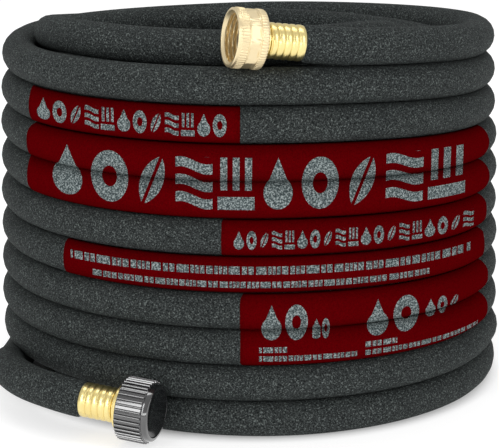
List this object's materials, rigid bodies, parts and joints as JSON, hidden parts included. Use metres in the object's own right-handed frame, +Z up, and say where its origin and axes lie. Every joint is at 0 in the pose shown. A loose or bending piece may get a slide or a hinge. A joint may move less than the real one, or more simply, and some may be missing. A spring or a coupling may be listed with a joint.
{
  "type": "soaker hose",
  "caption": "Coiled porous rubber soaker hose with a swivelling brass threaded inlet, a screw-capped brass outlet and printed film panels round the coil.",
  "frame": {"origin": "on the floor, on the axis of the coil", "axes": "+Z up along the axis of the coil; -Y is the front, where the fittings and the film panels are; +Y is the back"},
  "size_m": [0.2904, 0.3116, 0.2262],
  "materials": {
    "hose": "porous matte",
    "brass": "polished",
    "cap": "glossy",
    "seal": "smooth matte",
    "plastic": "moulded",
    "film": "printed film"
  },
  "bodies": {
    "root": {"hose_coil": "hose", "hose_inlet_run": "hose", "hose_inner_run": "hose", "hose_outlet_run": "hose", "hose_inlet_end": "hose", "hose_outlet_end": "hose", "inlet_tailpiece": "brass", "inlet_ferrule": "brass", "outlet_coupling": "brass", "outlet_ferrule": "brass", "label_upper": "film", "label_main": "film", "label_middle": "film", "label_strip": "film", "label_lower": "film"},
    "inlet_nut": {"swivel_nut": "brass", "flow_restrictor": "plastic", "inlet_washer": "seal"},
    "cap_seal": {"cap_washer": "seal"},
    "outlet_cap": {"end_cap": "cap"}
  },
  "joints": [
    {"name": "nut_swivel", "type": "hinge", "parent": "root", "child": "inlet_nut", "pos_m": [0.0255, -0.132, 0.2068], "axis": [-0.9449, -0.307, 0.1132], "continuous": true},
    {"name": "cap_slide", "type": "slide", "parent": "root", "child": "cap_seal", "axis": [0.9374, -0.3412, -0.0698], "range_m": [0, 0.009]},
    {"name": "cap_turn", "type": "hinge", "parent": "cap_seal", "child": "outlet_cap", "pos_m": [-0.086, -0.139, 0.0202], "axis": [0.9374, -0.3412, -0.0698], "range_deg": [0, 1440]}
  ],
  "couplings": [
    {"joint": "cap_slide", "follows": "cap_turn", "m_per_rad": 0.00035157}
  ]
}
